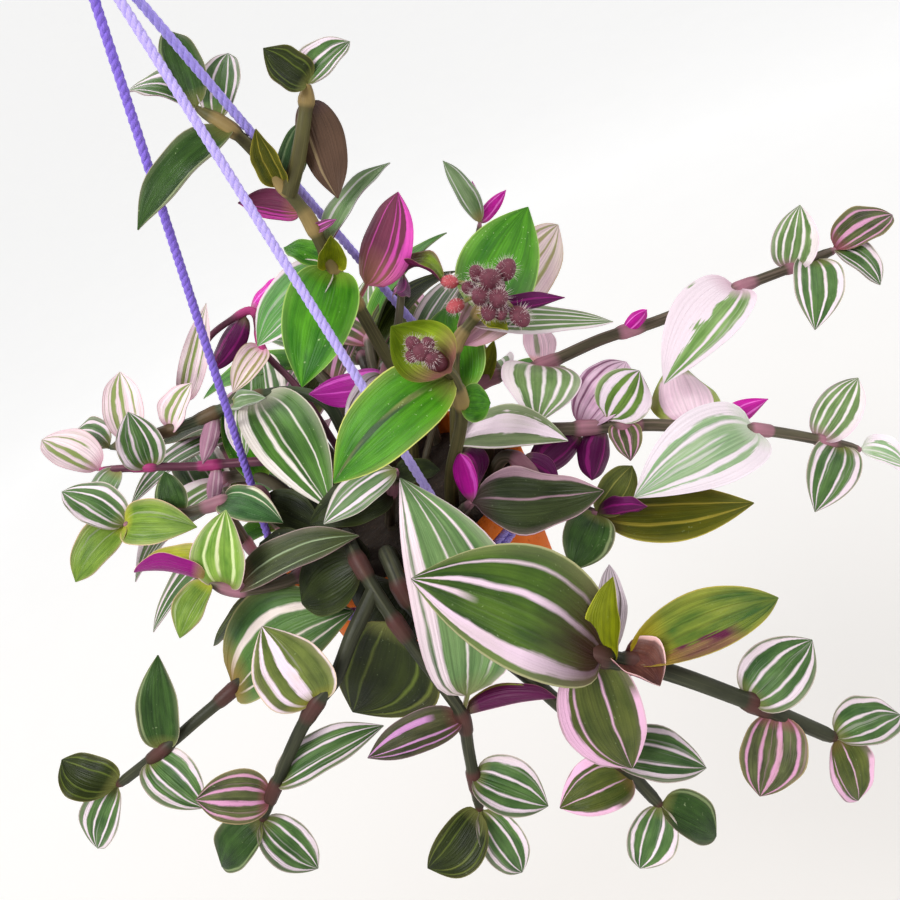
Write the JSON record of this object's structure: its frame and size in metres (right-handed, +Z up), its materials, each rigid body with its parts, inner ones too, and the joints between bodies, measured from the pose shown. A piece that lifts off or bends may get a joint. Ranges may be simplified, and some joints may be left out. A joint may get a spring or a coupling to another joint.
{
  "type": "potted tradescantia",
  "caption": "Variegated tradescantia with striped, purple-backed leaves, in a shallow terracotta pot hung in a knotted cord sling with a top loop.",
  "frame": {"origin": "top of the hanging loop, from which the pot and plant hang", "axes": "+Z up along the pot's axis, -Y towards the side the plant was drawn from, +X to its right"},
  "size_m": [0.4232, 0.3166, 0.4],
  "materials": {
    "terracotta": "matte, unglazed",
    "soil": "rough, moist",
    "cord": "soft twisted yarn",
    "foliage": "satin, striped",
    "buds": "matte, hairy"
  },
  "bodies": {
    "root": {"pot": "terracotta", "soil": "soil", "ring": "cord", "cord_right": "cord", "cord_front": "cord", "cord_left": "cord", "hang_loop": "cord", "buds_high": "buds", "buds_low": "buds", "stem_upright": "foliage", "stem_upper_right": "foliage", "stem_middle_right": "foliage", "stem_bud_high": "foliage", "stem_bud_low": "foliage", "stem_top_shoot": "foliage", "stem_front_right": "foliage", "stem_front_down": "foliage", "stem_front_middle": "foliage", "stem_left_front": "foliage", "stem_left_low": "foliage", "stem_left_middle": "foliage", "stem_left_high": "foliage", "stem_left_upper": "foliage", "stem_left_arch": "foliage", "stem_right_low": "foliage", "stem_centre_right": "foliage", "stem_centre": "foliage", "stem_centre_back": "foliage", "stem_far_1": "foliage", "stem_far_2": "foliage", "stem_far_3": "foliage", "stem_far_4": "foliage", "stem_far_5": "foliage", "stem_far_6": "foliage", "stem_far_7": "foliage"}
  },
  "joints": []
}
